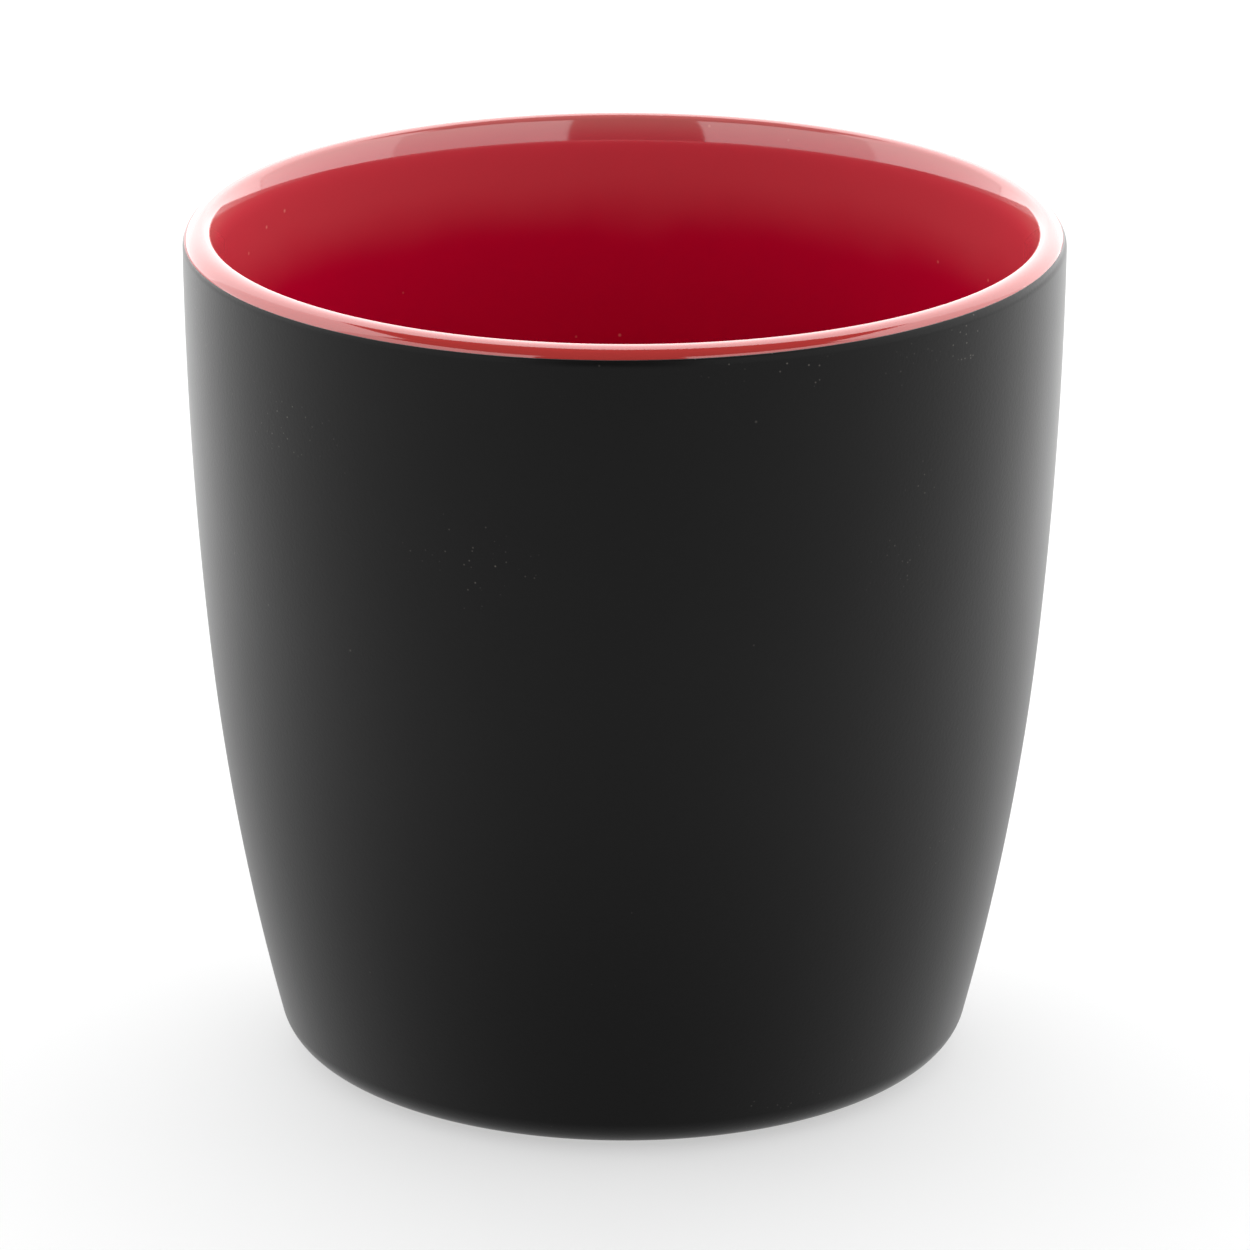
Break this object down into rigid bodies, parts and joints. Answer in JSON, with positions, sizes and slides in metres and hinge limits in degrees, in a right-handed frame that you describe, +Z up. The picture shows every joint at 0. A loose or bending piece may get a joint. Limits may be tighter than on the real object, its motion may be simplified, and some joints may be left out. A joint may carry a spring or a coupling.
{
  "type": "handleless ceramic cup",
  "caption": "Handleless round drinking cup of stoneware, matt black outside, glossy red lining rolled over the lip, bowed wall tapering to a bare foot ring.",
  "frame": {"origin": "on the cup's axis, in the plane of the foot ring that stands on the table", "axes": "+Z up along the cup's axis; the cup is round, so X and Y are free, and the picture looks along +Y"},
  "size_m": [0.088, 0.088, 0.086],
  "materials": {
    "bare_stoneware": "bare fired clay, ground smooth on the foot ring",
    "red_gloss_glaze": "glossy opaque glaze",
    "matt_black_glaze": "matt glaze with a soft satin gleam at a low angle"
  },
  "bodies": {
    "root": {"clay_body": "bare_stoneware", "inner_glaze": "red_gloss_glaze", "outer_glaze": "matt_black_glaze", "foot_well_glaze": "matt_black_glaze"}
  },
  "joints": []
}
